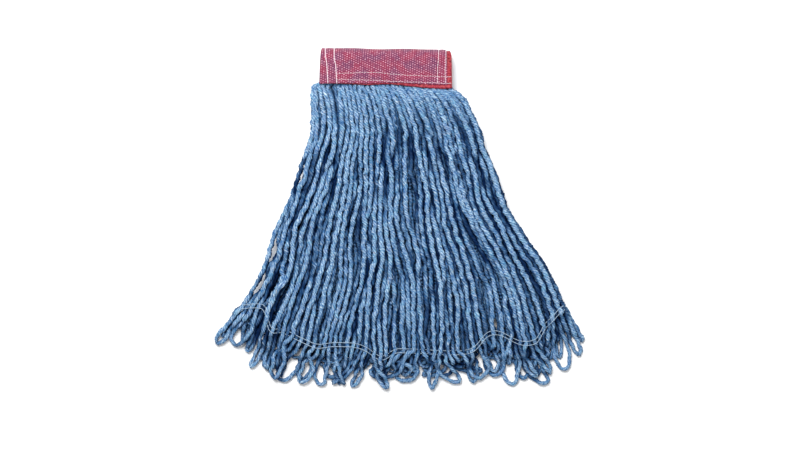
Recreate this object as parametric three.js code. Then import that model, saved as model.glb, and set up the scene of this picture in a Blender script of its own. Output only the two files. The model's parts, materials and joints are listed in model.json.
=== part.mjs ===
// Looped-end wet mop head, lying flat on the floor with its headband at the top.
// Units are millimetres. +Z is up, off the floor; +Y runs up the mop, from the loops to the
// headband; +X is to the right. The origin is on the floor, at the middle of the whole mop head.
//
// The yarn is folded over at the top, so there are two halves: the back half lies on the floor,
// and the front half lies on it. The headband is a woven mesh strip over a solid lining strip,
// folded over the yarn and sewn through it. The handle's crossbar goes into the slot inside the fold.
import * as THREE from "three";

const { lerp } = THREE.MathUtils;

// Driving dimensions.
const HALF_WIDTH = 258; // origin to the outermost loop on each side
const HALF_LENGTH = 235; // origin to the fold, and to the lowest loops
const SEAM_Y = 183; // lower edge of the headband, where the skirt of yarn starts
const BEND_Y = -20; // line across the skirt about which its lower part lifts
const LINING_LEFT = -103;
const LINING_RIGHT = 73;
const MESH_LEFT = -106;
const MESH_RIGHT = 66;
const MESH_BOTTOM = 187; // the lining shows below the mesh
const GAP = 0.3; // clearance between neighbouring pieces
const LINING_THICKNESS = 0.8;
const MESH_THICKNESS = 1.4;
const THREAD_THICKNESS = 0.6;
const THREAD_WIDTH = 1.2;

// Layers of the folded headband, as distances from the plane where the two halves meet.
const MID_Z = 18;
const SLOT_RADIUS = 3.8;
const YARN_OUTER = 13;
const layerOutside = (radius, thickness) => {
  const inner = radius + GAP;
  return { inner, outer: inner + thickness };
};
const LINING = layerOutside(YARN_OUTER, LINING_THICKNESS);
const MESH = layerOutside(LINING.outer, MESH_THICKNESS);
const END_THREAD = layerOutside(MESH.outer, THREAD_THICKNESS);
const ROW_THREAD = layerOutside(END_THREAD.outer, THREAD_THICKNESS);
const FOLD_Y = HALF_LENGTH - END_THREAD.outer; // centre line of the fold

// Heights of the skirt's surfaces at the seam and at the lowest loops.
const BACK_TOP = { seam: 16.5, tip: 7.5 };
const FRONT_BOTTOM = { seam: 19.5, tip: 8.9 };
const FRONT_TOP = { seam: 35, tip: 16.4 };

// The skirt is sewn from parallel hanks, each a bundle of strands laid side by side.
const HANKS = 5;
const RIDGES = 4; // bundles that show on one hank
const GROOVE = 0.16; // depth of the groove between bundles, as a share of the thickness
const CREST_START = 0.2; // each bundle's flat crest, as shares of its width
const CREST_END = 0.8;
const STEPS = { whole: 8, upper: 5, lower: 4, loops: 2 }; // lengths in which a hank is bent

const ROWS = { upper: 200, lower: 188.5 }; // the two sewn rows across the headband
const ROWS_LEFT = MESH_LEFT + 8;
const END_ROWS = { left_outer: -99, left_inner: -86, right_inner: 53, right_outer: 63 };
const TAIL_ROWS = { upper: 3, lower: -3 }; // the tail band's rows, from its centre line

// Edges of the skirt: [y, x], from the seam down to the end of the tail band.
const LEFT_EDGE = [
  [183, -116], [150, -118], [115, -119], [78, -131], [34, -146],
  [-10, -166], [-53, -181], [-95, -200], [-117, -213], [-190, -240],
];
const RIGHT_EDGE = [
  [183, 73], [164, 93], [135, 107], [100, 115], [75, 129],
  [34, 143], [-10, 166], [-53, 197], [-95, 218], [-117, 227], [-190, 250],
];
// Centre line of the tail band: [share of the width, y]. It is slack, so it droops between gathers.
const TAIL_LINE = [
  [0, -117], [0.08, -116], [0.12, -145], [0.2, -158], [0.26, -171], [0.38, -168],
  [0.44, -186], [0.48, -175], [0.6, -178], [0.72, -178], [0.78, -154],
  [0.83, -155], [0.88, -164], [0.93, -160], [0.96, -132], [1, -117],
];
// Ends of the loops: [share of the width, y].
const TIP_LINE = [
  [0, -160], [0.05, -176], [0.1, -196], [0.17, -212], [0.23, -235], [0.3, -220],
  [0.42, -224], [0.5, -235], [0.56, -222], [0.68, -212], [0.8, -216], [0.87, -222],
  [0.93, -204], [0.97, -190], [1, -166],
];

const yarnBlue = new THREE.MeshStandardMaterial({ color: 0x5b86b0, roughness: 0.95, metalness: 0 });
const yarnDeep = new THREE.MeshStandardMaterial({ color: 0x426b99, roughness: 0.95, metalness: 0 });
const meshPink = new THREE.MeshStandardMaterial({ color: 0xa56078, roughness: 0.85, metalness: 0 });
const liningRed = new THREE.MeshStandardMaterial({ color: 0xb8343c, roughness: 0.8, metalness: 0 });
const threadPale = new THREE.MeshStandardMaterial({ color: 0xe6dadd, roughness: 0.7, metalness: 0 });

const mopHead = new THREE.Group();

function add(name, geometry, material) {
  const mesh = new THREE.Mesh(geometry, material);
  mesh.name = name;
  mopHead.add(mesh);
}

// Moves every vertex of a geometry to place(x, y, z).
function reshape(geometry, place) {
  const vertices = geometry.getAttribute("position");
  for (let i = 0; i < vertices.count; i += 1) {
    const [x, y, z] = place(vertices.getX(i), vertices.getY(i), vertices.getZ(i));
    vertices.setXYZ(i, x, y, z);
  }
  geometry.computeVertexNormals();
  return geometry;
}

// Straight-line reading of a list of [key, value] pairs at a key.
function along(pairs, key) {
  const rising = pairs[1][0] > pairs[0][0];
  let i = 1;
  while (i < pairs.length - 1 && (rising ? key > pairs[i][0] : key < pairs[i][0])) i += 1;
  const [[k0, v0], [k1, v1]] = [pairs[i - 1], pairs[i]];
  return lerp(v0, v1, (key - k0) / (k1 - k0));
}

const heightAt = (surface, y) =>
  lerp(surface.seam, surface.tip, (SEAM_Y - y) / (SEAM_Y + HALF_LENGTH));
const skirtPoint = (s, y) => [lerp(along(LEFT_EDGE, y), along(RIGHT_EDGE, y), s), y];
const tailY = (s) => along(TAIL_LINE, s);
const tailPoint = (s) => skirtPoint(s, tailY(s));
const tipPoint = (s) => [lerp(-HALF_WIDTH, HALF_WIDTH, s), along(TIP_LINE, s)];

// A strip folded over the top of the mop, cut at the middle plane: half of the mesh, lining,
// yarn or thread. side is 1 for the front half and -1 for the back half.
function foldedStrip(side, layer, left, right, bottom) {
  const cut = GAP / 2;
  const section = new THREE.Shape();
  if (bottom < FOLD_Y) section.moveTo(bottom, layer.inner);
  section.absarc(FOLD_Y, 0, layer.inner, Math.PI / 2, Math.asin(cut / layer.inner), true);
  section.absarc(FOLD_Y, 0, layer.outer, Math.asin(cut / layer.outer), Math.PI / 2, false);
  if (bottom < FOLD_Y) section.lineTo(bottom, layer.outer);
  const strip = new THREE.ExtrudeGeometry(section, {
    depth: right - left,
    bevelEnabled: false,
    curveSegments: 6,
  });
  return reshape(strip, (u, v, w) => [side > 0 ? left + w : right - w, u, MID_Z + side * v]);
}

// A straight bar along X, on one half of the headband.
function bar(side, layer, left, right, bottom, top) {
  const box = new THREE.BoxGeometry(right - left, top - bottom, layer.outer - layer.inner);
  const z = MID_Z + (side * (layer.inner + layer.outer)) / 2;
  return box.translate((left + right) / 2, (bottom + top) / 2, z);
}

// Cross-section of a hank in a unit square: flat on its inner side, ridged on its outer side.
function hankSection(side) {
  const outline = [];
  for (let i = 0; i <= RIDGES; i += 1) outline.push([i / RIDGES, 0]);
  for (let i = RIDGES - 1; i >= 0; i -= 1) {
    outline.push([(i + 1) / RIDGES, 1 - GROOVE]);
    outline.push([(i + CREST_END) / RIDGES, 1]);
    outline.push([(i + CREST_START) / RIDGES, 1]);
  }
  outline.push([0, 1 - GROOVE]);
  return new THREE.Shape(outline.map(([u, v]) => new THREE.Vector2(u, side > 0 ? v : 1 - v)));
}

// One hank between two shares of the skirt's width. path(s, t) is the line that the strand at
// share s follows, from t = 0 at its upper end to t = 1 at its lower end.
function hank(side, index, steps, path) {
  const first = index === 0 ? 0 : index / HANKS + GAP / (2 * HALF_WIDTH);
  const last = index === HANKS - 1 ? 1 : (index + 1) / HANKS - GAP / HALF_WIDTH;
  const block = new THREE.ExtrudeGeometry(hankSection(side), {
    depth: 1,
    steps,
    bevelEnabled: false,
  });
  const low = side > 0 ? FRONT_BOTTOM : { seam: 0, tip: 0 };
  const high = side > 0 ? FRONT_TOP : BACK_TOP;
  return reshape(block, (u, v, w) => {
    const [x, y] = path(lerp(first, last, u), w);
    return [x, y, lerp(heightAt(low, y), heightAt(high, y), v)];
  });
}

// One row of the tail band's stitching, lying on top of one half of the skirt.
function tailThread(side, offset) {
  const ribbon = new THREE.ExtrudeGeometry(
    new THREE.Shape([[0, 0], [1, 0], [1, 1], [0, 1]].map(([u, v]) => new THREE.Vector2(u, v))),
    { depth: 1, steps: 50, bevelEnabled: false },
  );
  const surface = side > 0 ? FRONT_TOP : BACK_TOP;
  return reshape(ribbon, (u, v, w) => {
    const [x, centre] = tailPoint(w);
    const y = centre + offset + (u - 0.5) * THREAD_WIDTH;
    return [x, y, heightAt(surface, y) + GAP + v * THREAD_THICKNESS];
  });
}

// The headband, the yarn inside it and the rows of stitching, for each half.
for (const [half, side] of [["back", -1], ["front", 1]]) {
  const mesh = foldedStrip(side, MESH, MESH_LEFT, MESH_RIGHT, MESH_BOTTOM);
  add(`headband_mesh_${half}`, mesh, meshPink);
  const lining = foldedStrip(side, LINING, LINING_LEFT, LINING_RIGHT, SEAM_Y + GAP);
  add(`headband_lining_${half}`, lining, liningRed);

  const yarn = { inner: SLOT_RADIUS, outer: YARN_OUTER };
  const core = bar(side, yarn, LINING_LEFT, MESH_RIGHT, SEAM_Y + GAP, FOLD_Y - GAP);
  add(`yarn_under_band_${half}`, core, yarnDeep);
  const fold = foldedStrip(side, yarn, LINING_LEFT, MESH_RIGHT, FOLD_Y);
  add(`yarn_fold_${half}`, fold, yarnDeep);

  for (const [row, y] of Object.entries(ROWS)) {
    const thread = bar(side, ROW_THREAD, ROWS_LEFT, LINING_RIGHT, y, y + THREAD_WIDTH);
    add(`seam_thread_${half}_${row}`, thread, threadPale);
  }
  for (const [row, x] of Object.entries(END_ROWS)) {
    const thread = foldedStrip(side, END_THREAD, x, x + THREAD_WIDTH, MESH_BOTTOM);
    add(`end_thread_${half}_${row}`, thread, threadPale);
  }
}

// The skirt of yarn and the loops below its tail band. The back half is in one length;
// the front half is in two, so that its lower part can lift.
const seamY = SEAM_Y - GAP / 2;
for (let i = 0; i < HANKS; i += 1) {
  const colour = i % 2 === 0 ? yarnBlue : yarnDeep;
  const number = i + 1;
  const toTail = (from) => (s, t) => skirtPoint(s, lerp(from, tailY(s) + GAP / 2, t));
  const toBend = (s, t) => skirtPoint(s, lerp(seamY, BEND_Y + GAP / 2, t));
  const loops = (s, t) => {
    const [x0, y0] = tailPoint(s);
    const [x1, y1] = tipPoint(s);
    return [lerp(x0, x1, t), lerp(y0 - GAP, y1, t)];
  };
  add(`hank_back_${number}`, hank(-1, i, STEPS.whole, toTail(seamY)), colour);
  add(`loops_back_${number}`, hank(-1, i, STEPS.loops, loops), colour);
  add(`hank_front_upper_${number}`, hank(1, i, STEPS.upper, toBend), colour);
  const lower = hank(1, i, STEPS.lower, toTail(BEND_Y - GAP / 2));
  add(`hank_front_lower_${number}`, lower, colour);
  add(`loops_front_${number}`, hank(1, i, STEPS.loops, loops), colour);
}

for (const [row, offset] of Object.entries(TAIL_ROWS)) {
  add(`tail_thread_back_${row}`, tailThread(-1, offset), threadPale);
  add(`tail_thread_front_${row}`, tailThread(1, offset), threadPale);
}

export default mopHead;
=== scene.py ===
"""Looks of the string mop head: twisted yarn, sewn mesh headband, tail band and loops.

Everything is in the CAD frame: +Z up off the floor, +Y up the mop to its headband. Lengths are in
metres, but lists of places, heights and spreads that are given without MM are in mm.
"""
import json
import math

import bpy
import numpy as np
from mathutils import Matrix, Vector
from mathutils.kdtree import KDTree


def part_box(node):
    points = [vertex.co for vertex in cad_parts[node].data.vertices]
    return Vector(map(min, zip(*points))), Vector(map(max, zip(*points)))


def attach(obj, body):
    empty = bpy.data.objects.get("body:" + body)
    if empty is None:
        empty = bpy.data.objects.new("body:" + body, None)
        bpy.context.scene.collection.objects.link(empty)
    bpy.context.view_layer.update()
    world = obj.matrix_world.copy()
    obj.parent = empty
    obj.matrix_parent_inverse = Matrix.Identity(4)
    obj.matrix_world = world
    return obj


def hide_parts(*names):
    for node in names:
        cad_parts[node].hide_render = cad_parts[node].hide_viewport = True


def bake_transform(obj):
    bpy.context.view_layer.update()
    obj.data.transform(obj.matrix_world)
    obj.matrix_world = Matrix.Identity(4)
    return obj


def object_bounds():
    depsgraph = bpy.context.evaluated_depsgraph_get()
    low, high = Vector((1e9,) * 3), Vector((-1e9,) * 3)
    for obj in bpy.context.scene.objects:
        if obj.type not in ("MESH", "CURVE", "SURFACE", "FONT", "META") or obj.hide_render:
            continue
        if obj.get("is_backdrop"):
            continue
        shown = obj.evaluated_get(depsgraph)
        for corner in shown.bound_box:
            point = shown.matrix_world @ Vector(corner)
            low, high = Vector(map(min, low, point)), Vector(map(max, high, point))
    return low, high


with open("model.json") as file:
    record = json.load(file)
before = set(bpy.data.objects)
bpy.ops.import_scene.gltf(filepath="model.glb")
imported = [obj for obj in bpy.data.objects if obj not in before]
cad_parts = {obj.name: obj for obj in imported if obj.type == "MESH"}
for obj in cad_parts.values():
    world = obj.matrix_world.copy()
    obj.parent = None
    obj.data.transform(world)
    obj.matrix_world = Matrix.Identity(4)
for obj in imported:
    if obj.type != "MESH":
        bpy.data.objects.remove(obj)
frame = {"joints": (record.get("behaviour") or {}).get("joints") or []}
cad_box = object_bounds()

MM = 0.001
STRAND_SEED, LOOP_SEED = 11, 7
rng = np.random.default_rng(STRAND_SEED)
loop_rng = np.random.default_rng(LOOP_SEED)

# ---- places taken from the frame
joints = {j["name"]: j for j in frame["joints"]}
fold_y, mid_z = joints["headband_fold"]["pos_m"][1:]
bend_y = joints["front_tail_lift"]["pos_m"][1]
seam_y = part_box("hank_front_upper_1")[1].y
lining_low, lining_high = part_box("headband_lining_front")
half_width = cad_box[1].x
HANKS = 5  # across each half
LINING_RIGHT = 72.8 * MM  # the right end of the lining, which shows beside the mesh

# ---- the skirt's outline
# Left and right edges of the skirt as (y, x), from the headband down to the tail band.
LEFT_EDGE = [
    (183, -115), (172, -118), (150, -117), (120, -118), (99, -124), (78, -132), (56, -139),
    (34, -146), (12, -156), (-10, -167), (-31, -175), (-53, -180), (-75, -189), (-97, -202),
    (-117, -214), (-150, -228), (-190, -240),
]
RIGHT_EDGE = [
    (183, 67), (177, 73), (171, 83), (164, 92), (150, 98), (136, 105), (120, 113), (99, 117), (78, 127),
    (56, 136), (34, 143), (12, 151), (-10, 166), (-31, 179), (-53, 196), (-75, 208),
    (-97, 219), (-117, 227), (-150, 238), (-190, 250),
]
# Centre line of the tail band as (share of the width, y). It is slack between its gathers.
TAIL_LINE = [
    (0, -117), (0.04, -114), (0.08, -116), (0.105, -140), (0.125, -150), (0.15, -147),
    (0.2, -158), (0.26, -170), (0.3, -167), (0.36, -167), (0.4, -172), (0.43, -184),
    (0.45, -187), (0.48, -175), (0.54, -176), (0.62, -178), (0.68, -178), (0.71, -172),
    (0.735, -157), (0.76, -150), (0.79, -152), (0.815, -160), (0.835, -165), (0.87, -165),
    (0.893, -160), (0.91, -146), (0.96, -127), (1, -114),
]
# Where the strands come out from under the headband, as (share of the width, y below the seam).
START_LINE = [(0, 1.5), (0.2, 1.5), (0.42, 2.2), (0.6, 1.0), (0.75, 3.4), (0.9, 6.0), (1, 6.5)]
# Lowest reach of the loops as (x, y).
TIP_LINE = [
    (-258, -166), (-223, -175), (-200, -194), (-165, -211), (-139, -233), (-118, -226),
    (-62, -229), (-37, -232), (-18, -224), (0, -234), (25, -230), (43, -228), (60, -216),
    (77, -222), (124, -213), (176, -221), (202, -216), (228, -198), (243, -188), (258, -172),
]
# Places where the tail band gathers the strands: (share of the width, half width).
GATHERS = [(0.115, 15), (0.445, 17), (0.60, 12), (0.86, 18), (0.955, 12)]


def read(pairs, key):
    """Reads a list of (key, value) pairs at key, in straight lines between them."""
    table = np.array(sorted(pairs), float)
    return np.interp(key, table[:, 0], table[:, 1])


def rise(value, start, length):
    """0 up to start, then straight up to 1 over length."""
    return np.clip((value - start) / length, 0, 1)


def bell(offset, width):
    """1 where offset is 0, falling off over width on both sides."""
    return np.exp(-((offset / width) ** 2))


def tail_y(share):
    """The tail band's y at a share of the skirt's width."""
    return read(TAIL_LINE, share) * MM


def skirt_x(share, y):
    """The x at a share of the skirt's width, where it is at y."""
    left, right = read(LEFT_EDGE, y / MM) * MM, read(RIGHT_EDGE, y / MM) * MM
    return left + (right - left) * share


# ---- laying the strands
STRAND_RADIUS = 3.55 * MM
PLY_PITCH = 22 * MM  # length of one full turn of the plies
OUTER = 66  # strands that show on one half; two of them make one loop
INNER = 44  # strands hidden between the two halves, on one half
# Layers from the back to the front: (strands, place of the first strand in its own spacing).
LAYERS = ((OUTER, 0.9), (INNER, 0.6), (INNER, 0.8), (OUTER, 0.5))
LEVELS = 64  # points of a strand, from the seam to the tail band
SETTLE_STEPS = 150
REACH = 20  # neighbours tested on each side, in order of x
# Seeds of the strands' shared waves: sideways on the front and on the back, and in depth.
FRONT_SEED, BACK_SEED, DEPTH_SEED = 3, 7, 17

# Heights in mm: the front's upper surface at the seam, its fall to the tail band, its swell below the
# seam and its pinch at it; the back's lower surface; one layer, and how much thinner it is at the band.
TOP, TOP_FALL, SWELL, PINCH, BOTTOM, LAYER, LAYER_FALL = 30, 14, 4.5, 5, 3, 5.4, 3.9
# The front's first levels, which go in under the headband, stay this near to the mid plane.
ENTRY_HEIGHTS = (8.6, 11.2, 13.4)
GATHER_SHARE = 0.55  # share of its distance by which a gather draws a strand in

# Places where strands leave their lines: (share, half width in share, y, half length, shift in x).
# The first three make the strand that curls in at the top left, the next two a kink at the right
# edge, and the last three lean strands over near the tail band.
LOCAL_MOVES = [
    (0.10, 0.045, 184, 10, -7), (0.11, 0.04, 154, 17, 4), (0.035, 0.03, 152, 26, -1.5),
    (0.93, 0.04, 70, 10, 5), (0.945, 0.03, 40, 16, -3),
    (0.40, 0.03, -80, 34, -5), (0.44, 0.03, -120, 30, -5), (0.86, 0.02, -120, 16, 3),
]
# Valleys between clumps of strands on the front, where strands lie lower and get painted shade, as
# (share, y) at the upper and the lower end, and their half width.
VALLEYS = [
    ((0.155, 178), (0.155, 148), 3.0), ((0.575, 100), (0.56, -5), 4.6), ((0.445, 105), (0.445, 10), 3.2),
    ((0.385, 90), (0.39, 40), 2.6), ((0.89, 125), (0.95, 30), 3.8), ((0.77, 105), (0.75, 65), 2.6),
    ((0.79, 0), (0.745, -140), 4.6), ((0.94, -60), (0.93, -112), 4.4), ((0.068, 85), (0.062, 40), 3.4),
    ((0.35, 15), (0.315, -45), 3.0), ((0.315, -45), (0.33, -85), 2.8), ((0.19, 10), (0.18, -60), 2.6),
    ((0.175, -70), (0.165, -120), 3.0), ((0.275, -85), (0.25, -150), 3.2), ((0.487, -70), (0.47, -125), 2.6),
    ((0.585, -95), (0.57, -150), 3.0), ((0.67, 105), (0.70, 20), 2.0), ((0.53, -10), (0.53, -55), 2.4),
]
# Slits between strands, through both halves: (share of the width, share up to which strands pass on
# the left, y, half length, half width). At the left edge only one strand passes on the left.
SLITS = [
    (0.03, 0.01, 62, 17, 5.3), (0.032, 0.01, -40, 13, 5.2), (0.03, 0.01, -88, 11, 4.8),
    (0.775, 0.775, -139, 10, 5.5),
]
SLIT_REACH = 25 * MM  # strands further than this off a slit's middle stay where they are


def waves(share, level, across, along, amount, count, seed):
    """A smooth field over the skirt, made of sine waves, that neighbouring strands share."""
    draw = np.random.default_rng(seed)
    field = np.zeros_like(share)
    for _ in range(count):
        f, g = draw.uniform(*across), draw.uniform(*along) * draw.choice([-1, 1])
        field += np.sin(2 * np.pi * (f * share + g * level) + draw.uniform(0, 2 * np.pi))
    return field * amount / math.sqrt(count)


def wander(y, lengths, amount, count):
    """Each strand's own smooth wave along y, with wavelengths in the given range."""
    out = np.zeros_like(y)
    for _ in range(3):
        length, phase = rng.uniform(*lengths, count) * MM, rng.uniform(0, 2 * np.pi, count)
        out = out + rng.uniform(0.3, 1, count) * np.sin(2 * np.pi * y / length + phase)
    return out * amount * 0.6


def valley_lines(y):
    """Each valley's half width, its middle's share at y, and how near y is to its length."""
    for (high_share, high_y), (low_share, low_y), half in VALLEYS:
        part = rise(y / MM, low_y, high_y - low_y)
        beyond = np.maximum(np.maximum(y / MM - high_y, low_y - y / MM), 0)
        yield half * MM, low_share + (high_share - low_share) * part, bell(beyond, 14)


def open_slits(x, y, s):
    """Moves strands out of the slits, to the side on which they are by their share s."""
    for centre, pass_left, place, length, width in SLITS:
        middle = skirt_x(centre, y)
        least = width * MM * (1.15 * bell(y / MM - place, length) - 0.15)  # below 0 past its ends
        side = np.where(s < pass_left, -1, 1)
        short = np.clip(least - (x - middle) * side, 0, None) * (least > 0)
        x = x + short * side * (np.abs(x - middle) < SLIT_REACH)
    return x


def settle(x, y, z, s, radius, squeeze):
    """Moves overlapping strands apart in each level, while they keep near their lines. Squeeze
    turns a distance along x into one across the strands."""
    pull_x, pull_z, drop = 0.05, 0.025, 0.02 * MM  # back to its line and down, in one step
    push_share, aside = 0.3, 0.6  # share of an overlap undone in one step, less of it sideways
    own, neighbour = 0.8, 0.1  # weights that smooth a strand along its levels
    x_goal, z_goal = x.copy(), z.copy()
    for _ in range(SETTLE_STEPS):
        x += pull_x * (x_goal - x)
        z += pull_z * (z_goal - z) - drop
        order = np.argsort(x, axis=1)
        xs, zs, rs, qs = (np.take_along_axis(v, order, 1) for v in (x, z, radius, squeeze))
        move_x, move_z = np.zeros_like(xs), np.zeros_like(zs)
        for o in range(1, REACH):
            dx, dz = (xs[:, o:] - xs[:, :-o]) * qs[:, o:], zs[:, o:] - zs[:, :-o]
            apart = np.sqrt(dx * dx + dz * dz) + 1e-9
            push = np.clip(rs[:, o:] + rs[:, :-o] - apart, 0, None) * push_share / apart
            move_x[:, o:] += push * dx * aside
            move_x[:, :-o] -= push * dx * aside
            move_z[:, o:] += push * dz
            move_z[:, :-o] -= push * dz
        np.put_along_axis(x, order, xs + move_x, 1)
        np.put_along_axis(z, order, zs + move_z, 1)
        z = np.maximum(z, radius)
        x = open_slits(x, y, s)
        for v in (x, z):
            v[1:-1] = own * v[1:-1] + neighbour * (v[:-2] + v[2:])
    return x, z


def lay_strands():
    """The strands' places at LEVELS steps from the seam to the tail band, settled so that they
    lie on and beside each other. Returns points as [level, strand, xyz], share, and flags."""
    share = np.concatenate([(np.arange(n) + first) / n for n, first in LAYERS])
    count = len(share)
    number = np.arange(count)
    is_front = number >= OUTER + INNER
    is_outer = (number < OUTER) | (number >= OUTER + 2 * INNER)
    t = np.linspace(0, 1, LEVELS)[:, None]
    s = np.broadcast_to(share, (LEVELS, count))
    level = np.broadcast_to(t, (LEVELS, count))
    start_y = seam_y - read(START_LINE, share) * MM
    y = start_y + (tail_y(share) - start_y) * t
    loose = rise(t, 0, 0.22) * np.clip((1.02 - t) / 0.1, 0.35, 1)  # held at the seam and the band
    edge = np.clip(np.minimum(s, 1 - s) / 0.05, 0.2, 1)  # the outermost strands keep the outline

    x = skirt_x(s, y)
    for side, seed in ((is_front, FRONT_SEED), (~is_front, BACK_SEED)):
        clump = waves(s, level, across=(6, 11), along=(0.15, 0.9), amount=3.1 * MM, count=7, seed=seed)
        clump += waves(s, level, across=(2, 5), along=(0.2, 0.9), amount=3.9 * MM, count=4, seed=seed + 1)
        x = x + clump * np.clip(t / 0.2, 0.15, 1) * edge * (side & is_outer)
    x = x + wander(y, lengths=(60, 210), amount=3.8 * MM, count=count) * loose * edge * is_outer
    x = x + wander(y, lengths=(26, 70), amount=1.25 * MM, count=count) * loose
    for centre, half, place, length, shift in LOCAL_MOVES:
        near = np.exp(-(((s - centre) / half) ** 2) - ((y / MM - place) / length) ** 2)
        x = x + shift * MM * near * is_front
    sunk = np.zeros_like(x)
    for half, centre, along in valley_lines(y):
        near = bell(x - skirt_x(centre, y), 2.4 * half) * along * is_front
        x = x + np.where(s > centre, 1, -1) * half * near
        sunk = np.maximum(sunk, near)
    for centre, half in GATHERS:
        middle = skirt_x(centre, y)
        x = x - GATHER_SHARE * (x - middle) * bell(x - middle, half * MM) * rise(t, 0.55, 0.45) ** 2

    # Depths are in layers. At the seam every second outer strand starts below its neighbours.
    at_seam = number % 2 * 0.9
    own_depth = at_seam + wander(y, lengths=(90, 260), amount=0.45, count=count) * rise(t, 0, 0.15)
    rolling = waves(s, level, across=(5, 10), along=(0.3, 1.3), amount=0.3, count=6, seed=DEPTH_SEED)
    outer_depth = own_depth + rolling * rise(t, 0, 0.2) + 0.8 * sunk
    depth = np.where(is_outer, outer_depth, 2.2 + 1.6 * t + sunk)
    puff = SWELL * bell(t - 0.05, 0.06) - PINCH * bell(t, 0.014)
    top = (TOP - TOP_FALL * t + puff) * MM
    sink = depth * (LAYER - LAYER_FALL * t) * MM
    z = np.where(is_front, top - sink, BOTTOM * MM + sink)
    z = z + rng.normal(0, 0.5 * MM, (1, count))

    pressed = 0.84 + 0.16 * rise(t, 0, 0.12)
    is_top = is_outer & (at_seam == 0)
    firm = np.where(is_top, 1, 0.8 + 0.2 * t)
    radius = STRAND_RADIUS * firm * pressed
    lean = np.gradient(x, axis=0) / np.gradient(y, axis=0)
    x, z = settle(x, y, z, s, radius, 1 / np.sqrt(1 + lean**2))
    x = np.clip(x, skirt_x(0, y) + radius, skirt_x(1, y) - radius)
    for step, most in enumerate(ENTRY_HEIGHTS):
        z[step] = np.where(is_front, np.minimum(z[step], mid_z + most * MM), z[step])
    return np.stack([x, y, z], 2), share, is_front, is_outer


points, share, is_front, is_outer = lay_strands()


# The points of a strand inside the headband, from the inmost: (height above its first level, share
# of its distance from the band's middle, most distance off the mid plane).
TUCKS = [(18, 0.9, 9.4), (12, 0.92, 9.8), (6, 0.965, 10.8)]
TUCK_SHARE, LEAST_TUCK = 0.62, 6.3 * MM  # of a strand's distance off the mid plane


def strand_points(a):
    """Strand a's points, from inside the headband to the tail band."""
    x, y, z = points[0, a]
    middle = (lining_low.x + lining_high.x) / 2
    sign = 1 if is_front[a] else -1
    out = []
    for above, inward, most in TUCKS:
        tuck = min(max(abs(z - mid_z) * TUCK_SHARE, LEAST_TUCK), most * MM)
        tucked_x = middle + (x - middle) * inward
        tucked_x = min(max(tucked_x, lining_low.x + 3.2 * MM), LINING_RIGHT - 3.6 * MM)
        out.append([tucked_x, y + above * MM, mid_z + sign * tuck])
    return out + points[:, a].tolist()


# Half of a loop's outline as (share of its length, share of its half width), from leg to tip.
NARROW_LEG = [(0.14, 0.8), (0.34, 0.72), (0.56, 0.76), (0.76, 1.0), (0.92, 0.82)]
WIDE_LEG = [(0.12, 0.42), (0.3, 0.55), (0.52, 0.92), (0.76, 1.0), (0.93, 0.66)]
# A loop's least and most length, as shares of its way to the lowest reach.
FRONT_REACH, BACK_REACH, INNER_REACH = (0.86, 1.1), (0.3, 0.88), (0.15, 0.5)
CORNERS = (-165 * MM, 205 * MM)  # outside these x the loops lie more in line, to keep the outline
# Spreads of what a loop draws: its end's shift, its turn in degrees, its slight curl, its wave.
END_SHIFT, LOOP_TURN, SLIGHT_CURL, LOOP_WAVE = 7, 21, 8, 2.6
STRONG_CURL = (14, 26)
SLIGHT_SHARE, WIDE_SHARE, WIDE_IN_CORNER, CROSSED_SHARE = 0.62, 0.58, 0.1, 0.4  # of all loops
WIDE_HALF, NARROW_HALF, OUTERMOST_HALF = (7.0, 13.0), (2.6, 4.0), 4.8  # half widths
CROSSING_RISE = 1.8 * MM  # of a crossed loop's upper leg
SPREAD_STEPS = 16


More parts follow.
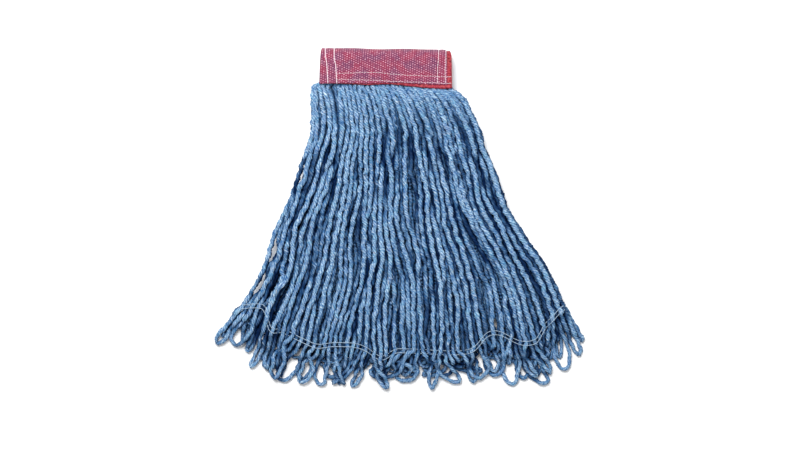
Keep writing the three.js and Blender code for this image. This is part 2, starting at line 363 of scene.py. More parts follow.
def loop_points(a, b, front, outer):
    """A yarn's turn below the tail band, from the end of strand a to the end of strand b."""
    start, end = points[-1, a], points[-1, b]
    middle = (start + end) / 2
    reach_x = half_width * 0.985 * (share[a] + share[b] - 1)
    outermost = front and outer and abs(reach_x) > 0.93 * half_width
    in_corner = reach_x < CORNERS[0] or reach_x > CORNERS[1]
    if not in_corner:
        reach_x += loop_rng.normal(0, END_SHIFT) * MM
    goal = np.array([reach_x, read(TIP_LINE, reach_x / MM) * MM + 0.8 * STRAND_RADIUS])
    way = goal - middle[:2]
    distance = np.linalg.norm(way)
    shortest, longest = FRONT_REACH if front and outer else BACK_REACH if outer else INNER_REACH
    if in_corner:
        shortest = 0.8 * longest
    length = distance * loop_rng.uniform(shortest, longest)
    turn = math.radians(loop_rng.normal(0, LOOP_TURN))
    if loop_rng.random() < SLIGHT_SHARE:
        curl = loop_rng.normal(0, SLIGHT_CURL) * MM
    else:
        curl = loop_rng.uniform(*STRONG_CURL) * loop_rng.choice([-1, 1]) * MM
    wave = loop_rng.normal(0, LOOP_WAVE) * MM
    wave_turns, wave_start = loop_rng.uniform(0.7, 1.3), loop_rng.uniform(0, 6)
    if in_corner:
        turn, curl, wave = abs(turn) * (-0.5 if reach_x > 0 else 0.5), curl * 0.3, wave * 0.5
    if outermost:
        length, turn, curl, wave = distance, 0.0, 0.0, 0.0
    way, cos, sin = way / distance, math.cos(turn), math.sin(turn)
    way = np.array([way[0] * cos - way[1] * sin, way[0] * sin + way[1] * cos])
    side = np.array([-way[1], way[0]])
    if np.dot(side, (end - start)[:2]) < 0:
        side = -side
    wide = loop_rng.random() < (WIDE_IN_CORNER if in_corner else WIDE_SHARE)
    half = loop_rng.uniform(*(WIDE_HALF if wide else NARROW_HALF)) * MM
    if outermost:
        half = OUTERMOST_HALF * MM
    crossed = loop_rng.random() < CROSSED_SHARE and not in_corner
    lift = (loop_rng.uniform(0.15, 1.0) * 10 * MM) if front else loop_rng.uniform(0, 3) * MM
    leg_shape = WIDE_LEG if wide else NARROW_LEG
    legs = [(along, -across) for along, across in leg_shape] + [(1.0, 0.0)] + leg_shape[::-1]
    out = []
    for i, (along, across) in enumerate(legs):
        sign = -1 if crossed and along > 0.5 else 1
        bend = curl * along**2 + wave * along * math.sin(2 * math.pi * wave_turns * along + wave_start)
        xy = middle[:2] + way * length * along + side * (half * across * sign + bend)
        first_leg = i < len(leg_shape)
        z = STRAND_RADIUS + lift * (1 - 0.6 * along) + (CROSSING_RISE if crossed and first_leg else 0)
        z = z + ((start if first_leg else end)[2] - z) * max(0.0, 1 - along * 2)
        out.append([xy[0], xy[1], max(z, STRAND_RADIUS)])
    return out


def spread_apart(chains):
    """Pushes the loops' points out of each other and off the floor, a diameter apart."""
    shape = np.shape(chains)
    flat = np.reshape(chains, (-1, 3))
    owner, place = np.divmod(np.arange(len(flat)), shape[1])
    diameter = 1.85 * STRAND_RADIUS
    push_share, more_in_z = 0.25, (0.8, 0.8, 1.6)
    for _ in range(SPREAD_STEPS):
        tree = KDTree(len(flat))
        for i, p in enumerate(flat):
            tree.insert(p, i)
        tree.balance()
        move = np.zeros_like(flat)
        for i, p in enumerate(flat):
            for _, j, apart in tree.find_range(p, diameter):
                if j == i or (owner[i] == owner[j] and abs(place[i] - place[j]) < 3):
                    continue
                away = (p - flat[j]) * more_in_z
                move[i] += away / (np.linalg.norm(away) + 1e-9) * (diameter - apart) * push_share
        flat = flat + move
        flat[:, 2] = np.maximum(flat[:, 2], STRAND_RADIUS)
    most_x = half_width - STRAND_RADIUS
    flat[:, 0] = np.clip(flat[:, 0], -most_x, most_x)
    flat[:, 1] = np.maximum(flat[:, 1], cad_box[0].y + 0.7 * STRAND_RADIUS)
    return flat.reshape(shape)


# ---- yarn as geometry
def run_along(line):
    """The length along line up to each of its points."""
    return np.concatenate([[0], np.cumsum(np.linalg.norm(np.diff(line, axis=0), axis=1))])


def read_line(at, run, line):
    """The values of line, which has the given run, at the runs in at."""
    return np.stack([np.interp(at, run, line[:, k]) for k in range(3)], 1)


def smooth_path(control, spacing):
    """Even points, spacing apart, on the smooth curve through control, and the run to each."""
    p = np.array(control, float)
    p = np.vstack([2 * p[0] - p[1], p, 2 * p[-1] - p[-2]])
    u = np.linspace(0, 1, 9)[:-1, None]  # eight points from one control point to the next
    parts = []
    for a, b, c, d in zip(p[:-3], p[1:-2], p[2:-1], p[3:]):
        parts.append(0.5 * (2 * b + (c - a) * u + (2 * a - 5 * b + 4 * c - d) * u**2
                            + (3 * b - a - 3 * c + d) * u**3))
    fine = np.vstack([*parts, p[-2:-1]])
    run = run_along(fine)
    steps = np.linspace(0, run[-1], max(4, int(round(run[-1] / spacing)) + 1))
    return read_line(steps, run, fine), steps


def ply_profile(sides):
    """Distance of a strand's surface from its middle, at each of its sides, from 0 to 1."""
    turn = 2 * np.pi / 4  # from ply to ply
    angle = (np.arange(sides) * 2 * np.pi / sides + turn / 2) % turn - turn / 2
    offset, ply = 0.43, 0.57  # of a ply's middle, and its radius, in shares of the strand's radius
    inside = np.maximum(ply**2 - (offset * np.sin(angle)) ** 2, 0)
    return offset * np.cos(angle) + np.sqrt(inside)


def link(name, data):
    """A new object of the scene that holds data."""
    made = bpy.data.objects.new(name, data)
    bpy.context.scene.collection.objects.link(made)
    return made


def new_object(name, vertices, faces, material, uv_name, uv, flat_faces=()):
    """A mesh object from arrays of vertices, of faces with four corners and of each corner's uv."""
    me = bpy.data.meshes.new(name)
    me.vertices.add(len(vertices))
    me.vertices.foreach_set("co", np.asarray(vertices, np.float32).ravel())
    me.loops.add(faces.size)
    me.loops.foreach_set("vertex_index", faces.astype(np.int32).ravel())
    me.polygons.add(len(faces))
    me.polygons.foreach_set("loop_start", np.arange(0, faces.size, 4, dtype=np.int32))
    me.update(calc_edges=True)
    me.shade_smooth()
    if len(flat_faces):
        sharp = me.attributes.get("sharp_face") or me.attributes.new("sharp_face", "BOOLEAN", "FACE")
        sharp.data.foreach_set("value", np.asarray(flat_faces, bool))
    me.materials.append(material)
    me.uv_layers.new(name=uv_name).data.foreach_set("uv", uv.astype(np.float32).ravel())
    return link(name, me)


class Tubes:
    """Collects strands as rings of vertices, and makes one mesh of them."""

    def __init__(self):
        self.vertices, self.outward, self.faces, self.flat, self.uv, self.tone = ([] for _ in range(6))
        self.count, self.shade = 0, None

    def add(self, line, run, radius, sides, pitch, tone, phase, profile=1.0, rough=0.0):
        """A tube along line. run is the length along it, pitch the length of one turn, and rough
        the spread of its vertices as a share of its radius."""
        rings = len(line)
        tangent = np.gradient(line, axis=0)
        tangent /= np.linalg.norm(tangent, axis=1)[:, None]
        up = np.zeros_like(line)
        up[0] = np.cross(tangent[0], [0.3, 0.2, 1.0])
        up[0] /= np.linalg.norm(up[0])
        for i in range(1, rings):
            up[i] = up[i - 1] - tangent[i] * (up[i - 1] @ tangent[i])
            up[i] /= np.linalg.norm(up[i]) + 1e-12
        side = np.cross(tangent, up)
        turn = phase - 2 * np.pi * run / pitch
        turn = turn + np.sin(run / (17 * MM) + 5 * phase) + 0.6 * np.sin(run / (7 * MM) + 9 * phase)
        angle = np.arange(sides) * 2 * np.pi / sides + turn[:, None]
        reach = np.broadcast_to(radius, (rings,))[:, None] * np.broadcast_to(profile, (sides,))
        if rough:
            reach = reach * (1 + rough * rng.normal(0, 1, (rings, sides)))
        reach, up, side = reach[..., None], up[:, None], side[:, None]
        cos, sin = np.cos(angle)[..., None], np.sin(angle)[..., None]
        ring = line[:, None] + reach * cos * up + reach * sin * side
        self.vertices.append(ring.reshape(-1, 3))
        self.outward.append((cos * up + sin * side).reshape(-1, 3))
        i, j = np.meshgrid(np.arange(rings - 1), np.arange(sides), indexing="ij")
        k = (j + 1) % sides
        quads = np.stack([i * sides + j, (i + 1) * sides + j, (i + 1) * sides + k, i * sides + k], 2)
        self.faces.append(quads.reshape(-1, 4) + self.count)
        self.flat.append(np.zeros(i.size, bool))
        u = np.stack([j, j, j + 1, j + 1], 2) / sides
        v = np.stack([run[i], run[i + 1], run[i + 1], run[i]], 2)
        self.uv.append(np.stack([u, v], 3).reshape(-1, 2))
        self.tone.append(np.full(rings * sides, tone))
        for start in (0, (rings - 1) * sides):
            cap = np.arange(sides) + start
            cap = cap if start else cap[::-1]
            for q in range(1, sides - 2, 2):
                self.faces.append(cap[[0, q, q + 1, q + 2]][None] + self.count)
                self.flat.append(np.ones(1, bool))
                self.uv.append(np.zeros((4, 2)))
        self.count += rings * sides

    def mesh(self, name, material):
        piece = new_object(name, np.vstack(self.vertices), np.vstack(self.faces), material,
                           "strand", np.vstack(self.uv), np.concatenate(self.flat))
        for key, values in (("tone", np.concatenate(self.tone)), ("shade", self.shade)):
            if values is not None:
                layer = piece.data.attributes.new(key, "FLOAT", "POINT")
                layer.data.foreach_set("value", values.astype(np.float32))
        return piece


CROWD_CELL, SURFACE_CELL = 1.6 * MM, 2.5 * MM  # of the grids that tell where yarn lies
VALLEY_SHADE, LOOP_SHADE, DEPTH_SHADE = 0.62, 0.17, 0.96  # the most painted shade that each gives


def blur(grid, axes):
    """Each cell's mean with its two neighbours, along one axis after the other."""
    for axis in axes:
        grid = sum(np.roll(grid, k, axis) for k in (-1, 0, 1)) / 3
    return grid


def crowding(vertices, outward, low):
    """How much yarn lies just outside each vertex, from 0 to 1. The grid starts at low."""
    shape = np.ceil((vertices.max(0) + 6 * CROWD_CELL - low) / CROWD_CELL).astype(int) + 1
    filled = np.zeros(shape, np.float32)
    filled[tuple(((vertices - outward * 1.6 * MM - low) / CROWD_CELL).astype(int).T)] = 1
    outside = tuple(((vertices + outward * 2.3 * MM - low) / CROWD_CELL).astype(int).T)
    return np.clip(blur(filled, (0, 1, 2))[outside] * 4.2 - 0.25, 0, 1)


def depths(vertices, low):
    """How far each vertex lies below the yarn's upper surface, and then above its lower one."""
    cells = tuple(((vertices[:, :2] - low[:2]) / SURFACE_CELL).astype(int).T)
    for sign in (1, -1):
        surface = np.full([c.max() + 4 for c in cells], -1.0)
        np.maximum.at(surface, cells, sign * vertices[:, 2])
        for axis in (0, 1):
            surface = np.maximum.reduce([np.roll(surface, k, axis) for k in (-2, -1, 0, 1, 2)])
        yield blur(surface, (0, 1))[cells] - sign * vertices[:, 2]


def measure_shade(tubes):
    """Gives each vertex of the named Tubes its shade, from 0 to 1, which is painted into the yarn's
    colour: how much it faces a strand lying beside it, and how deep it lies below both the upper
    and the lower surface of all. The side on which the two halves of the mop face each other stays
    lighter."""
    group = list(tubes.values())
    vertices = np.vstack([part for t in group for part in t.vertices])
    outward = np.vstack([part for t in group for part in t.outward])
    side = np.concatenate([np.full(t.count, 1 if "front" in name else -1) for name, t in tubes.items()])
    facing = side * outward[:, 2]  # 1 straight out of the mop, -1 towards its other half
    x, y = vertices[:, 0], vertices[:, 1]
    low = vertices.min(0) - 6 * CROWD_CELL
    beside = crowding(vertices, outward, low)
    from_top, from_below = depths(vertices, low)
    depth = rise(np.minimum(from_top, from_below), 2.2 * MM, 5.6 * MM)
    in_fringe = y < bend_y - 120 * MM  # there the yarn is thin, and depth below its top counts too
    depth = np.maximum(depth, 0.5 * rise(from_top * in_fringe, 4 * MM, 8 * MM))
    # painted shade along the valleys between clumps of strands on the front
    sunk = np.zeros_like(x)
    for half, centre, along in valley_lines(y):
        sunk = np.maximum(sunk, bell(x - skirt_x(centre, y), 0.95 * half) * along)
    sunk *= VALLEY_SHADE * np.clip(0.5 + facing * 2, 0, 1) * (side > 0)
    # the painted shade beside strands varies in patches
    patches = np.sin(x / (8 * MM) + 2 * np.sin(y / (31 * MM))) * np.sin(y / (19 * MM) + x / (33 * MM))
    patches += np.sin(x / (21 * MM) - y / (47 * MM)) * np.sin(y / (11 * MM) + 2 * np.sin(x / (15 * MM)))
    beside = beside * (0.8 + 0.2 * np.clip(patches, -1, 1))
    from_seam = rise(seam_y - y, 0, 90 * MM)  # the strands lie pressed together near the headband, so less shade is painted there
    depth, beside = depth * (0.2 + 0.8 * from_seam), beside * (0.5 + 0.5 * from_seam)
    depth = depth * np.clip(0.95 + 0.9 * facing, 0.42, 1)
    # painted shade on the loops below the tail band
    in_loops = LOOP_SHADE * rise(bend_y - 105 * MM - y, 0, 25 * MM)
    shade = 1 - (1 - sunk) * (1 - in_loops) * (1 - beside) * (1 - DEPTH_SHADE * depth**0.75)
    for t, part in zip(group, np.split(shade, np.cumsum([t.count for t in group])[:-1])):
        t.shade = part


# ---- materials
class Nodes:
    """A material's nodes, with short calls to add and link them."""

    def __init__(self, name):
        self.material = bpy.data.materials.new(name)
        self.material.use_nodes = True
        self.tree = self.material.node_tree
        self.shader = self.tree.nodes["Principled BSDF"]

    def put(self, value, socket):
        if isinstance(value, bpy.types.NodeSocket):
            self.tree.links.new(value, socket)
        else:
            socket.default_value = value

    def node(self, kind, settings=(), **inputs):
        made = self.tree.nodes.new(kind)
        for key, value in dict(settings).items():
            setattr(made, key, value)
        for key, value in inputs.items():
            self.put(value, made.inputs[key])
        return made

    def output(self, kind, values, number=0, settings=()):
        """An output of a new node, whose inputs are set from values, by their numbers."""
        made = self.node(kind, settings)
        for index, value in values.items():
            self.put(value, made.inputs[index])
        return made.outputs[number]

    def math(self, operation, a, b=0.0):
        return self.output("ShaderNodeMath", {0: a, 1: b}, settings={"operation": operation})

    def times(self, a, b):
        return self.math("MULTIPLY", a, b)

    def mix(self, factor, a, b):
        return self.output("ShaderNodeMix", {0: factor, 6: a, 7: b}, 2, {"data_type": "RGBA"})

    def ramp(self, value, low, high):
        """0 at low, 1 at high, and straight between them."""
        return self.output("ShaderNodeMapRange", {0: value, 1: low, 2: high})

    def paint(self, colour, *layers):
        """Lays colours over colour: (value, where it starts, where it is full, amount, colour)."""
        for value, start, full, amount, top in layers:
            colour = self.mix(self.times(self.ramp(value, start, full), amount), colour, srgb(*top))
        return colour

    def noise(self, x, y, z=0.0, detail=2.0, roughness=0.5):
        place = self.node("ShaderNodeCombineXYZ", X=x, Y=y, Z=z).outputs[0]
        made = self.node("ShaderNodeTexNoise", Vector=place, Scale=1.0, Detail=detail, Roughness=roughness)
        return made.outputs[0]

    def uv(self, name):
        place = self.node("ShaderNodeUVMap", {"uv_map": name}).outputs[0]
        axes = self.node("ShaderNodeSeparateXYZ", Vector=place)
        return axes.outputs[0], axes.outputs[1]

    def attribute(self, name):
        return self.node("ShaderNodeAttribute", {"attribute_name": name}).outputs["Fac"]

    def finish(self, colour, height, bump, distance, **constants):
        self.put(colour, self.shader.inputs["Base Color"])
        made = self.node("ShaderNodeBump", Strength=bump, Distance=distance, Height=height)
        self.put(made.outputs[0], self.shader.inputs["Normal"])
        for name, value in constants.items():
            self.shader.inputs[name.replace("_", " ")].default_value = value
        return self.material


def srgb(r, g, b):
    """A colour from its usual 0 to 255 numbers, as the linear colour that shaders take."""
    def linear(v):
        v /= 255
        return v / 12.92 if v <= 0.04045 else ((v + 0.055) / 1.055) ** 2.4
    return (linear(r), linear(g), linear(b), 1)


def yarn_material():
    """Heather blue yarn: flecks along the plies, painted shade between them and deep in the mop,
    where little light gets to, with a few stray grey fibres."""
    n = Nodes("yarn")
    u, v = n.uv("strand")
    tone, shade = n.attribute("tone"), n.attribute("shade")
    shifted, own = n.math("ADD", v, n.times(tone, 7.3)), n.times(tone, 31.0)
    around = n.times(n.math("ABSOLUTE", n.math("SUBTRACT", u, 0.5)), 18.0)
    fibre = n.noise(around, n.times(shifted, 250.0), own, 3.0, 0.65)
    fleck = n.noise(n.times(around, 1.6), n.times(shifted, 400.0), own, 2.0, 0.6)
    patch = n.noise(0.0, n.times(shifted, 60.0), own, 1.0)
    hue = n.noise(0.0, n.times(shifted, 110.0), n.math("ADD", own, 9.0), 1.0)
    stray = n.noise(n.times(around, 0.7), n.times(shifted, 170.0), n.math("ADD", own, 4.0), 1.0)
    ply = n.math("COSINE", n.times(u, 8 * math.pi))  # 1 on the four plies' crests, -1 between them
    colour = n.mix(n.ramp(fibre, 0.38, 0.62), srgb(54, 112, 164), srgb(160, 199, 224))
    colour = n.paint(
        colour,
        (fleck, 0.53, 0.63, 0.9, (206, 222, 236)),  # pale flecks
        (fleck, 0.47, 0.37, 0.9, (4, 58, 122)),  # dark flecks
        (patch, 0.5, 0.72, 0.4, (56, 104, 156)),  # darker lengths
        (hue, 0.55, 0.75, 0.22, (128, 146, 202)),  # lengths of a more violet blue
        (hue, 0.45, 0.25, 0.3, (110, 180, 205)),  # and of a greener one
        (stray, 0.70, 0.76, 0.6, (196, 178, 160)),  # stray grey fibres
        (tone, 0.0, 1.0, 0.26, (62, 106, 150)),  # some strands darker than others
        (ply, -0.1, -1.0, 0.5, (4, 52, 112)),  # painted shade between the plies
        (shade, 0.05, 0.7, 0.6, (30, 90, 144)),  # painted shade close to other strands
        (shade, 0.25, 1.0, 1.0, (0, 20, 58)),  # painted shade deep among them
    )
    height = n.math("ADD", fibre, n.times(fleck, 0.8))
    return n.finish(colour, height, 0.7, 0.7 * MM, Roughness=1.0, Specular_IOR_Level=0.02)


# The headband's weave as three families of ribs, each as turns per metre along u and v. Where they
# rise together, a pale warp thread comes up between the dark weft threads.
WEAVE_RIBS = [(327, 17), (-125, 309), (202, 326)]


def mesh_material():
    """Headband mesh: pale warp over pink and mauve weft, in uneven patches."""
    n = Nodes("band_mesh")
    u, v = n.uv("cloth")
    height = 0.0
    for along_u, along_v in WEAVE_RIBS:
        turns = n.math("ADD", n.times(u, along_u), n.times(v, along_v))
        height = n.math("ADD", n.math("COSINE", n.times(turns, 2 * math.pi)), height)
    patch = n.noise(n.times(u, 75.0), n.times(v, 75.0), 3.0, 2.0)
    streak = n.noise(n.times(u, 420.0), n.times(v, 60.0), 6.0, 2.0)
    strength = n.noise(n.times(u, 230.0), n.times(v, 230.0), 9.0, 1.0)
    weft = n.mix(n.ramp(patch, 0.38, 0.62), srgb(138, 42, 70), srgb(102, 52, 86))
    weft = n.paint(weft, (streak, 0.5, 0.7, 0.4, (164, 74, 102)))
    pale = n.mix(n.ramp(strength, 0.35, 0.65), srgb(146, 72, 100), srgb(214, 158, 178))
    colour = n.mix(n.ramp(height, 0.2, 2.1), weft, pale)
    # painted shade where the weave lies lowest
    colour = n.paint(colour, (height, 0.0, -1.4, 0.4, (96, 24, 56)))
    return n.finish(colour, height, 0.5, 0.3 * MM, Roughness=0.75, Specular_IOR_Level=0.3,
                    Sheen_Weight=0.1)


def lining_material():
    """Headband lining: a fine red twill."""
    n = Nodes("band_lining")
    u, v = n.uv("cloth")
    rib = n.math("SINE", n.times(n.math("ADD", u, n.times(v, 0.8)), 5200.0))
    slub = n.noise(n.times(u, 330.0), n.times(v, 420.0), 0.0, 2.0)
    patch = n.noise(n.times(u, 60.0), n.times(v, 60.0), 5.0, 1.0)
    colour = n.mix(n.ramp(slub, 0.4, 0.6), srgb(104, 18, 34), srgb(192, 78, 86))
    # deeper red patches, and painted shade in the grooves between the twill's ribs
    colour = n.paint(colour, (patch, 0.4, 0.65, 0.4, (168, 34, 66)), (rib, 0.2, -1.0, 0.5, (112, 12, 30)))
    return n.finish(colour, rib, 0.5, 0.25 * MM, Roughness=0.7, Specular_IOR_Level=0.3)


def thread_material(name, light, dark):
    """Sewing thread: two plies, with fine fibres across them."""
    n = Nodes(name)
    u, v = n.uv("strand")
    fibre = n.noise(n.times(u, 8.0), n.times(v, 1500.0), 0.0, 2.0)
    ply = n.math("COSINE", n.times(u, 4 * math.pi))
    colour = n.mix(n.ramp(fibre, 0.35, 0.65), srgb(*light), srgb(*dark))
    # painted shade between the two plies
    colour = n.paint(colour, (ply, 0.0, -1.0, 0.4, dark))
    return n.finish(colour, fibre, 0.4, 0.15 * MM, Roughness=0.6, Specular_IOR_Level=0.35)


yarn = yarn_material()
band_mesh = mesh_material()
band_lining = lining_material()
white_thread = thread_material("white_thread", (246, 230, 236), (204, 172, 184))
pale_thread = thread_material("pale_thread", (190, 208, 222), (140, 166, 190))

# ---- the yarn's pieces
CUT_HIGH, CUT_LOW = 114 * MM, 56 * MM  # the front strands are cut between these, on one body only
# Distance between a strand's rings of vertices, and the number of its sides.
SHOWN, HIDDEN = (2.4 * MM, 16), (4.6 * MM, 8)
ROUGH = 0.085
LOOP_THINNING = 0.21  # share by which a strand is thinner in its loop


def build_yarn():
    """Makes every yarn, down one strand, round its loop and up the next, in pieces by hank."""
    pairs = []
    for front, outer in ((False, True), (False, False), (True, True), (True, False)):
        members = np.flatnonzero((is_front == front) & (is_outer == outer))
        pairs += [(a, b, front, outer) for a, b in zip(members[::2], members[1::2])]
    chains = spread_apart([loop_points(*pair) for pair in pairs])
    tubes = {}
    for (a, b, front, outer), chain in zip(pairs, chains):
        hank = min(HANKS, 1 + int((share[a] + share[b]) / 2 * HANKS))
        control = strand_points(a) + chain.tolist() + strand_points(b)[::-1]
        spacing, sides = SHOWN if outer else HIDDEN
        line, run = smooth_path(control, spacing)
        for axis in (0, 2):  # each yarn's own small waves
            for length in rng.uniform(10, 30, 3):
                line[:, axis] += 0.4 * MM * np.sin(2 * np.pi * run / (length * MM) + rng.uniform(0, 6))
        tone, phase = rng.random(), rng.uniform(0, 2 * np.pi)
        thickness = STRAND_RADIUS * rng.uniform(0.93, 1.06) * (1 if outer else 0.95)
        pressed = 0.86 + 0.14 * rise(seam_y - line[:, 1], 0, 30 * MM)
        uneven = 1 - LOOP_THINNING * rise(bend_y - 110 * MM - line[:, 1], 0, 40 * MM)
        uneven += 0.06 * np.sin(2 * np.pi * run / (rng.uniform(23, 41) * MM) + phase)
        uneven += 0.055 * np.sin(2 * np.pi * run / (rng.uniform(8, 15) * MM) + 3 * phase)
        pitch = PLY_PITCH * rng.uniform(0.75, 1.15)
        radius = thickness * pressed * uneven
        line[:, 2] = np.maximum(line[:, 2], 1.12 * radius)  # keeps rough plies off the floor too
        spans = [("back", 0, len(line))]
        if front:
            tip = int(np.argmin(line[:, 1]))
            first = int(np.argmax(line[:, 1] < rng.uniform(CUT_LOW, CUT_HIGH)))
            last = tip + int(np.argmax(line[tip:, 1] > rng.uniform(CUT_LOW, CUT_HIGH)))
            spans = [("front_upper", 0, first + 1), ("front_lower", first, last + 1),
                     ("front_upper", last, len(line))]
        for part, i, j in spans:
            made = tubes.setdefault(f"yarn_{part}_{hank}", Tubes())
            made.add(line[i:j], run[i:j], radius[i:j], sides, pitch, tone, phase, ply_profile(sides), ROUGH)
    measure_shade(tubes)
    return {name: t.mesh(name, yarn) for name, t in tubes.items()}


pieces = build_yarn()
for n in range(1, HANKS + 1):
    back, upper, lower = (pieces[f"yarn_{part}_{n}"] for part in ("back", "front_upper", "front_lower"))
    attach(back, "back_half")
    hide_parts(f"hank_back_{n}", f"loops_back_{n}")
    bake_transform(upper)
    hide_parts(f"hank_front_upper_{n}")
    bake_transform(lower)
    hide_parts(f"hank_front_lower_{n}", f"loops_front_{n}")

# ---- the headband
FOLD_RADIUS = 15.1 * MM  # from the mid plane to the middle of the mesh's thickness
ARC = math.pi / 2 * FOLD_RADIUS  # from the fold's crest to where a leg starts, along the mesh
FOLD_CENTRE_Y = fold_y - FOLD_RADIUS - 1.6 * MM
# Shifts of a strip's left and right end at the fold, against its lower edge.
END_SHIFTS = (2.2, -0.8)
# Sewn rows across the front, and the lower edges of mesh and lining, as (x, y).
UPPER_ROW = [
    (-84, 197.5), (-70, 199), (-50, 200), (-30, 199.6), (-10, 197.9), (15, 196), (38, 194.9), (72, 194),
]
LOWER_ROW = [(-84, 190.6), (-65, 190.3), (-35, 189.2), (14, 186.9), (62, 185.4), (72, 185)]
ROW_FOOT = 185.2  # the y at which the rows at the band's ends stop
# Each row at the ends: its thread's radius, then (y, x) down the front and the back.
END_ROWS = {
    "left_outer": (0.75, [(235, -98), (222, -97.6), (212, -95.8), (ROW_FOOT, -94.2)]),
    "left_inner": (0.75, [(235, -86), (216, -85.6), (211, -83.8), (ROW_FOOT, -82.3)]),
    "right_inner": (0.5, [(235, 55), (217, 54.6), (208, 53.4), (ROW_FOOT, 53.2)]),
    "right_outer": (0.5, [(235, 64.6), (212, 64.4), (204, 63.4), (ROW_FOOT, 63.8)]),
}
MESH_EDGE = [
    (-106, 184.6), (-86, 185.4), (-60, 185.4), (-38, 184.8), (-22, 186), (0, 186), (14, 185.4),
    (35, 184.2), (66, 183.2),
]
LINING_EDGE = [
    (-104, 185.2), (-84, 184.9), (-60, 184.2), (-38, 183), (-22, 184.2), (-8, 184.2), (0, 183.2),
    (11, 182), (25, 180.4), (43, 178.8), (60, 178), (73, 178.6),
]


def band_place(x, s, lift):
    """A point of the folded headband: s runs from the fold's crest, below 0 to the back and
    above 0 to the front, and lift is off the middle of the mesh's thickness, outwards."""
    radius = FOLD_RADIUS + lift
    bend = np.clip(s / ARC, -1, 1) * math.pi / 2
    leg = np.maximum(np.abs(s) - ARC, 0)
    slant = 2.2 * MM * rise(x, -86 * MM, 150 * MM)  # the crest drops a little to the right
    y = FOLD_CENTRE_Y + (radius - slant) * np.cos(bend) - leg
    z = mid_z + radius * np.sin(bend)
    return np.stack([x + 0 * s, y, z], -1)


def run_to(y):
    """The run from the fold's crest to where a leg reaches y."""
    return ARC + FOLD_CENTRE_Y - y


def band_relief(x, s):
    """How far the cloth stands off its mean surface: soft folds, drawn in along the sewn rows."""
    soft = 0.35 * np.sin(x / (17 * MM) + 1.3 * np.sin(s / (21 * MM)))
    soft = soft + 0.3 * np.sin(x / (9.5 * MM) + s / (13 * MM) + 1)
    y = FOLD_CENTRE_Y - (np.abs(s) - ARC)
    for row in (UPPER_ROW, LOWER_ROW):
        soft = soft - 0.7 * bell(y - read(row, x / MM) * MM, 2 * MM) * (x > -86 * MM)
    for _, places in END_ROWS.values():
        soft = soft - 0.6 * bell(x - read(places, y / MM) * MM, 1.8 * MM)
    return soft * MM


def folded_sheet(name, material, edge, low_x, high_x, lift, thickness, step, rounding):
    """A closed sheet folded over the yarn. edge is its lower edge, lift is off the mesh's middle,
    step is the grid's, and rounding is how far its ends draw in at the fold."""
    columns = int(round((high_x - low_x) / step)) + 1
    x = np.linspace(low_x, high_x, columns)[:, None]
    longest = run_to(min(y for _, y in edge) * MM)
    rows = 2 * int(round(longest / step)) + 1
    part = np.linspace(-1, 1, rows)[None, :]
    s = part * run_to(read(edge, x / MM) * MM)
    middle = (low_x + high_x) / 2
    x = middle + (x - middle) * (1 - rounding / (high_x - middle) * bell(s, 11 * MM))
    shift = np.where(x < middle, *END_SHIFTS) * MM
    x = x + shift * ((x - middle) / (high_x - middle)) ** 4 * (1 - np.abs(part))
    soft = band_relief(x, s) + lift
    outer, inner = (band_place(x, s, soft + off) for off in (thickness / 2, -thickness / 2))
    vertices = np.vstack([outer.reshape(-1, 3), inner.reshape(-1, 3)])
    index = np.arange(columns * rows).reshape(columns, rows)
    top = np.stack([index[:-1, :-1], index[1:, :-1], index[1:, 1:], index[:-1, 1:]], 2).reshape(-1, 4)
    ring = np.concatenate([index[:-1, 0], index[-1, :-1], index[:0:-1, -1], index[0, :0:-1]])
    after = np.roll(ring, -1)
    rim = np.stack([ring, ring + index.size, after + index.size, after], 1)
    faces = np.vstack([top, top[:, ::-1] + index.size, rim])
    cloth = np.stack([np.broadcast_to(x, s.shape), s], 2).reshape(-1, 2)
    return new_object(name, vertices, faces, material, "cloth", np.vstack([cloth, cloth])[faces.ravel()])


def sewn_row(name, material, line, normal, length, radius, dip):
    """Stitches along line, each of them lying on the cloth and going in at both its ends."""
    tubes, run = Tubes(), run_along(line)
    count = max(1, int(round(run[-1] / length)))
    bounds = np.linspace(0, run[-1], count + 1)
    lift = np.array([-1, -0.1, 0.35, 0.45, 0.35, -0.1, -1]) * dip
    for start, end in zip(bounds[:-1], bounds[1:]):
        at = np.linspace(start + 0.08 * length, end - 0.08 * length, len(lift))
        path = read_line(at, run, line) + read_line(at, run, normal) * lift[:, None]
        tubes.add(path, at, radius, 6, pitch=4 * MM, tone=rng.random(), phase=rng.uniform(0, 6))
    piece = tubes.mesh(name, material)
    return piece


def band_row(name, x, s, lift, radius):
    """A sewn row on the mesh through x and s, arrays of the same length."""
    relief = band_relief(x, s) + lift
    line = band_place(x, s, relief)
    normal = (band_place(x, s, relief + MM) - line) / MM
    return sewn_row(name, white_thread, line, normal, length=3.8 * MM, radius=radius, dip=1.0 * MM)


def across_fold(piece):
    """Bakes piece's transform into its mesh; piece already lies round the fold."""
    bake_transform(piece)


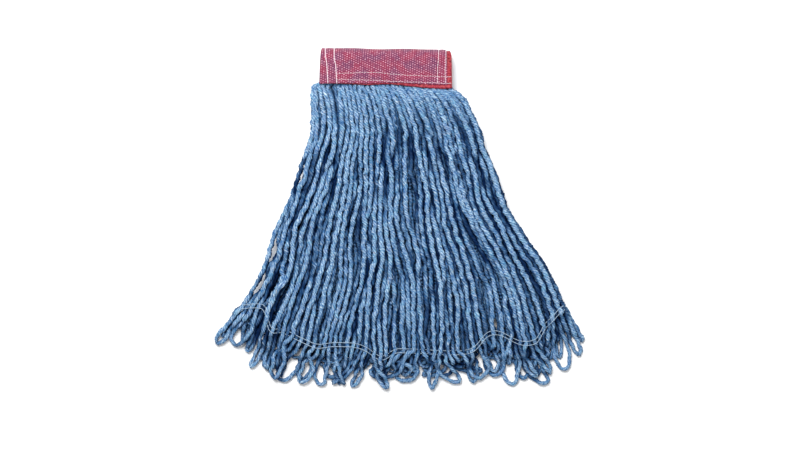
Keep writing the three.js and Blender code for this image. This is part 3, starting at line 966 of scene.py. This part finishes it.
def make_headband():
    lining = folded_sheet("headband_lining", band_lining, LINING_EDGE, low_x=-103.4 * MM, high_x=LINING_RIGHT,
                          lift=-1.5 * MM, thickness=0.8 * MM, step=2 * MM, rounding=2.2 * MM)
    mesh = folded_sheet("headband_mesh", band_mesh, MESH_EDGE, low_x=-106 * MM, high_x=66.4 * MM,
                        lift=-0.1 * MM, thickness=1.1 * MM, step=1.2 * MM, rounding=1.8 * MM)
    for part, piece, size in (("lining", lining, (0.175, 0.117)), ("mesh", mesh, (0.172, 0.116))):
        across_fold(piece)
        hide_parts(f"headband_{part}_back", f"headband_{part}_front")
    for name, (radius, places) in END_ROWS.items():
        s = np.linspace(-run_to(ROW_FOOT * MM), run_to(ROW_FOOT * MM), 90)
        x = read(places, (FOLD_CENTRE_Y + ARC - np.abs(s)) / MM) * MM
        piece = band_row(f"end_row_{name}", x, s, 0.8 * MM, radius * MM)
        across_fold(piece)
        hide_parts(f"end_thread_back_{name}", f"end_thread_front_{name}")
    for half, body, sign in (("front", "front_band", 1), ("back", "back_half", -1)):
        for row, points_xy in (("upper", UPPER_ROW), ("lower", LOWER_ROW)):
            x = np.linspace(points_xy[0][0], points_xy[-1][0], 120) * MM
            s = sign * run_to(read(points_xy, x / MM) * MM)
            s = s + 0.4 * MM * np.sin(x / (5.5 * MM)) * np.sin(x / (13 * MM))
            piece = band_row(f"seam_row_{half}_{row}", x, s, 0.62 * MM, 0.36 * MM)
            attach(piece, body)
            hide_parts(f"seam_thread_{half}_{row}")


FOLD_LAYERS = (5.9 * MM, 10.4 * MM)  # the strands inside the headband, off the mid plane
FOLD_SPACING = 4.6 * MM
FOLD_YARN_END = 192 * MM  # the y at which they stop, among the strands of the skirt


def make_fold_yarn():
    """The strands inside the headband, two deep on each side, turning over at the fold."""
    tubes = Tubes()
    count = int((LINING_RIGHT - lining_low.x - 5 * MM) / FOLD_SPACING)
    s = np.linspace(-run_to(FOLD_YARN_END), run_to(FOLD_YARN_END), 46)
    for radius in FOLD_LAYERS:
        for x in np.linspace(lining_low.x + 3.2 * MM, LINING_RIGHT - 4.2 * MM, count):
            at = x + 0.5 * MM * np.sin(s / (14 * MM) + rng.uniform(0, 6))
            line = band_place(at, s, radius - FOLD_RADIUS)
            tubes.add(line, s - s[0], 2.25 * MM, 8, PLY_PITCH, tone=rng.random(),
                      phase=rng.uniform(0, 6), profile=ply_profile(8), rough=0.03)
    piece = tubes.mesh("yarn_in_fold", yarn)
    across_fold(piece)
    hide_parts("yarn_under_band_back", "yarn_under_band_front", "yarn_fold_back", "yarn_fold_front")


make_fold_yarn()
make_headband()


# ---- the tail band
def tail_height(x, front):
    """The height of the outer strands' surface at the tail band, above or below x."""
    members = np.flatnonzero((is_front == front) & is_outer)
    last = points[-1, members]
    off = np.abs(x[:, None] - last[:, 0]) / STRAND_RADIUS
    bulge = np.sqrt(np.clip(1 - off**2, 0, 1)) * STRAND_RADIUS * 0.95
    sign = 1 if front else -1
    surface = sign * np.where(off < 1, sign * last[:, 2] + bulge, -np.inf).max(1)
    found = np.isfinite(surface)
    return np.interp(x, x[found], surface[found])


# Where clumps of strands cover the tail band's front rows, as (from, to) in shares of the width.
COVERED = [(0.083, 0.11), (0.14, 0.195), (0.41, 0.475), (0.52, 0.685), (0.815, 0.835), (0.92, 0.932)]
COVER_DEPTH = 4.5 * MM  # how far the rows go down there
ROW_OFFSET = 2.7 * MM  # of each row off the tail band's centre line


def smooth(values, reach):
    """Each value's mean with its neighbours, reach of them on each side."""
    width = 2 * reach + 1
    return np.convolve(np.pad(values, reach, "edge"), np.ones(width) / width, "valid")


def make_tail_rows():
    """Two sewn rows across the strands of each half, that follow their upper or lower surface."""
    for half, front, body in (("front", True, "front_tail"), ("back", False, "back_half")):
        for row, offset in (("upper", ROW_OFFSET), ("lower", -ROW_OFFSET)):
            part = np.linspace(0.006, 0.994, 420)
            y = smooth(tail_y(part) + offset, 6)
            x = skirt_x(part, y)
            z = tail_height(x, front)
            window = np.lib.stride_tricks.sliding_window_view(np.pad(z, 2, "edge"), 5)
            z = window.max(1) if front else np.maximum(window.min(1), 0.7 * MM)
            covered = sum((part > start) & (part < end) for start, end in COVERED)
            z = smooth(z, 2) - COVER_DEPTH * smooth(covered * front, 3)
            line = np.stack([x, y, z], 1)
            normal = np.zeros_like(line)
            normal[:, 2] = 1 if front else -1
            piece = sewn_row(f"tail_row_{half}_{row}", pale_thread, line, normal, length=5 * MM,
                             radius=0.42 * MM, dip=0.5 * MM)
            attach(piece, body)
            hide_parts(f"tail_thread_{half}_{row}")


make_tail_rows()


# ---- floor, light and camera
def make_stage():
    bpy.ops.mesh.primitive_plane_add(size=12, location=(0, 0, -0.2 * MM))
    floor = bpy.context.object
    floor.name = "floor"
    n = Nodes("floor")
    n.shader.inputs["Base Color"].default_value = (0.96, 0.96, 0.96, 1)
    n.shader.inputs["Roughness"].default_value = 0.9
    floor.data.materials.append(n.material)
    floor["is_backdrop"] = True


def area_light(name, place, target, size, power):
    data = bpy.data.lights.new(name, "AREA")
    data.shape = "DISK"
    data.size = size
    data.energy = power
    lamp = link(name, data)
    lamp.location = place
    lamp.rotation_euler = (Vector(target) - Vector(place)).to_track_quat("-Z", "Y").to_euler()


def make_world(strength):
    world = bpy.data.worlds.new("studio")
    world.use_nodes = True
    background = world.node_tree.nodes["Background"]
    background.inputs["Color"].default_value = (1, 1, 1, 1)
    background.inputs["Strength"].default_value = strength
    bpy.context.scene.world = world


def make_camera():
    """A camera straight above, that looks down on view_width metres of the floor."""
    view_width, middle = 1.088, (2.7 * MM, -5.4 * MM)
    data = bpy.data.cameras.new("camera")
    data.lens = 100
    data.sensor_width = 36
    camera = link("camera", data)
    camera.location = (*middle, view_width * data.lens / data.sensor_width)
    bpy.context.scene.camera = camera


make_stage()
make_world(strength=0.36)
area_light("key", place=(-0.4, 1.05, 2.3), target=(0, 0.02, 0), size=1.3, power=82)
area_light("fill", place=(0.9, -0.9, 2.4), target=(0, 0, 0), size=1.6, power=10)
make_camera()
bpy.context.scene.view_settings.view_transform = "Standard"

[[list(corner) for corner in box] for box in (cad_box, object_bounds())]
